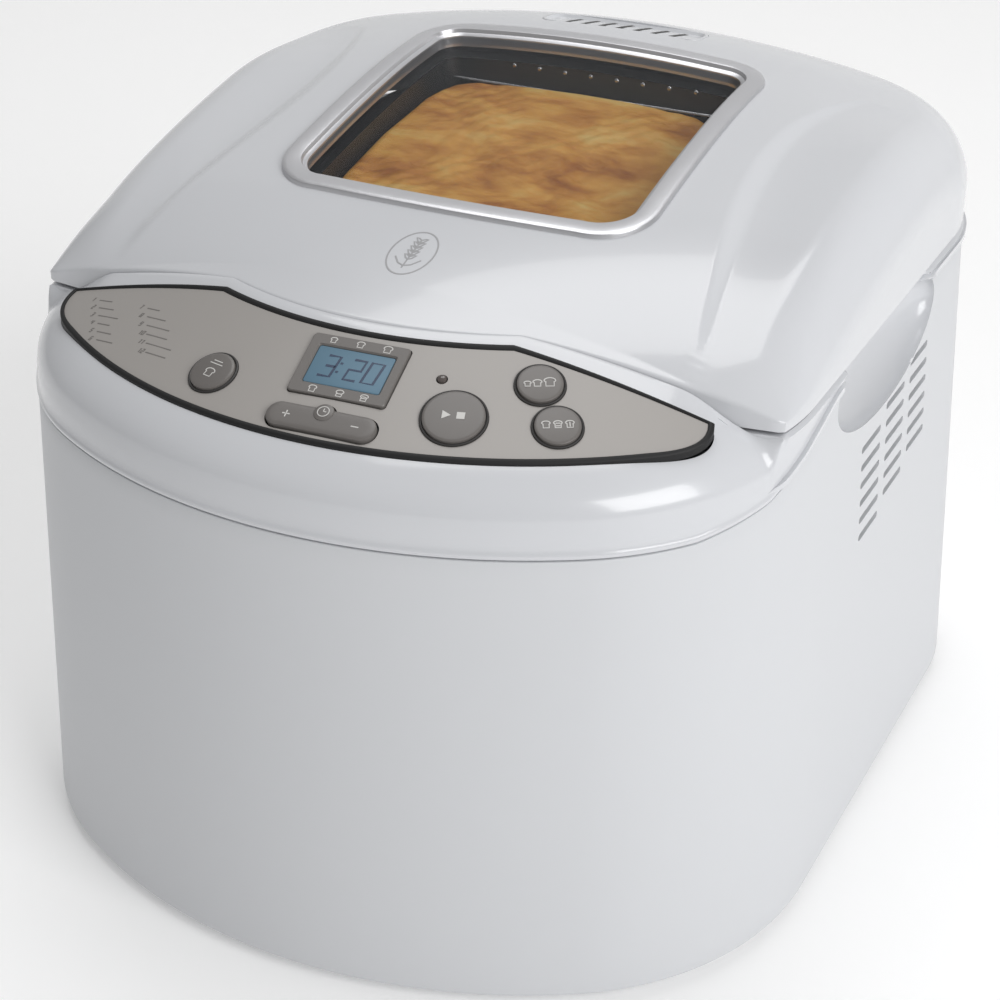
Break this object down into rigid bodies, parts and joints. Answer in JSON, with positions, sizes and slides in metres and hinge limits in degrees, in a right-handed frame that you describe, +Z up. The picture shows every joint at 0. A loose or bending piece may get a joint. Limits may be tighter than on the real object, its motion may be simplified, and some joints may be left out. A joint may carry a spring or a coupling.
{
  "type": "bread machine",
  "caption": "Table-top bread machine with a rounded housing, curved control panel, hinged windowed lid, oven chamber, lift-out pan and belt-driven kneading paddle.",
  "frame": {"origin": "on the ground, at the centre of the footprint", "axes": "+Z up, -Y towards the control panel at the front, +Y towards the lid hinge at the back"},
  "size_m": [0.3122, 0.352, 0.2546],
  "materials": {
    "white_satin": "satin",
    "white_gloss": "glossy",
    "rubber": "matt",
    "taupe": "fine satin",
    "key_grey": "satin",
    "lcd": "clear glossy",
    "led": "clear glossy",
    "circuit": "resin board",
    "silver": "satin silver",
    "steel": "brushed",
    "dark_steel": "heat-dulled",
    "cast": "as cast",
    "alloy": "drawn",
    "bronze": "sintered bronze",
    "nylon": "moulded nylon",
    "non_stick": "non-stick coating",
    "glass": "clear"
  },
  "bodies": {
    "casing": {"base_tray": "white_satin", "lower_housing": "white_satin", "upper_collar": "white_gloss", "foot_1": "rubber", "foot_2": "rubber", "foot_3": "rubber", "foot_4": "rubber", "fascia_gasket": "rubber", "cord_gland": "rubber", "drive_belt": "rubber", "control_fascia": "taupe", "lcd_bezel": "key_grey", "lcd_module": "lcd", "status_led": "led", "control_board": "circuit", "power_board": "circuit", "rating_plate": "silver", "chassis_plate": "steel", "chassis_screw_1": "steel", "chassis_screw_2": "steel", "chassis_screw_3": "steel", "chassis_screw_4": "steel", "hinge_bracket_left": "steel", "hinge_bracket_right": "steel", "hinge_pin_left": "steel", "hinge_pin_right": "steel", "hinge_screw_left": "steel", "hinge_screw_right": "steel", "temperature_probe": "steel", "pan_socket": "steel", "oven_liner": "dark_steel", "heater_element": "dark_steel", "bearing_housing": "cast", "motor": "cast", "run_capacitor": "alloy", "drive_bush": "bronze"},
    "menu_button": {"menu_button": "key_grey"},
    "start_button": {"start_button": "key_grey"},
    "size_button": {"size_button": "key_grey"},
    "crust_button": {"crust_button": "key_grey"},
    "timer_rocker": {"timer_rocker": "key_grey"},
    "drive_spindle": {"drive_shaft": "steel", "drive_pulley": "nylon", "drive_dog": "steel"},
    "motor_rotor": {"motor_shaft": "steel", "motor_pulley": "cast"},
    "bread_pan": {"bread_pan": "non_stick"},
    "pan_handle": {"pan_handle": "steel"},
    "pan_drive": {"pan_spindle": "steel"},
    "kneading_paddle": {"kneading_paddle": "non_stick"},
    "lid": {"lid_shell": "white_gloss", "lid_liner": "steel", "window_frame": "silver", "window_glass": "glass", "inner_glass": "glass", "vent_grille": "white_gloss", "lid_seal": "rubber"}
  },
  "joints": [
    {"name": "menu_press", "type": "slide", "parent": "casing", "child": "menu_button", "axis": [0.0964, 0.4045, -0.9095], "range_m": [0, 0.001], "stiffness_N_per_m": 400, "springref_m": -0.0015},
    {"name": "start_press", "type": "slide", "parent": "casing", "child": "start_button", "axis": [-0.1195, 0.3983, -0.9095], "range_m": [0, 0.001], "stiffness_N_per_m": 400, "springref_m": -0.0015},
    {"name": "size_press", "type": "slide", "parent": "casing", "child": "size_button", "axis": [-0.1842, 0.3728, -0.9095], "range_m": [0, 0.001], "stiffness_N_per_m": 400, "springref_m": -0.0015},
    {"name": "crust_press", "type": "slide", "parent": "casing", "child": "crust_button", "axis": [-0.1952, 0.3671, -0.9095], "range_m": [0, 0.001], "stiffness_N_per_m": 400, "springref_m": -0.0015},
    {"name": "timer_rock", "type": "hinge", "parent": "casing", "child": "timer_rocker", "pos_m": [0.00741, -0.14644, 0.20364], "axis": [-0.0397, 0.9086, 0.4158], "range_deg": [-2.5, 2.5], "stiffness_Nm_per_rad": 0.2},
    {"name": "drive_spin", "type": "hinge", "parent": "casing", "child": "drive_spindle", "pos_m": [0, 0.023, 0.03], "axis": [0, 0, 1], "continuous": true},
    {"name": "motor_spin", "type": "hinge", "parent": "casing", "child": "motor_rotor", "pos_m": [0.062, -0.118, 0.03], "axis": [0, 0, 1], "continuous": true},
    {"name": "lid_hinge", "type": "hinge", "parent": "casing", "child": "lid", "pos_m": [0, 0.16, 0.2045], "axis": [-1, 0, 0], "range_deg": [0, 80]},
    {"name": "pan_lift", "type": "slide", "parent": "casing", "child": "bread_pan", "axis": [0, 0, 1], "range_m": [0, 0.006]},
    {"name": "handle_swing", "type": "hinge", "parent": "bread_pan", "child": "pan_handle", "pos_m": [0, 0.023, 0.189], "axis": [-1, 0, 0], "range_deg": [-5, 0]},
    {"name": "pan_drive_spin", "type": "hinge", "parent": "bread_pan", "child": "pan_drive", "pos_m": [0, 0.023, 0.08], "axis": [0, 0, 1], "continuous": true},
    {"name": "paddle_lift", "type": "slide", "parent": "pan_drive", "child": "kneading_paddle", "axis": [0, 0, 1], "range_m": [0, 0.02]}
  ],
  "couplings": [
    {"joint": "motor_spin", "follows": "drive_spin", "ratio": 5.2667},
    {"joint": "pan_drive_spin", "follows": "drive_spin", "ratio": 1}
  ]
}
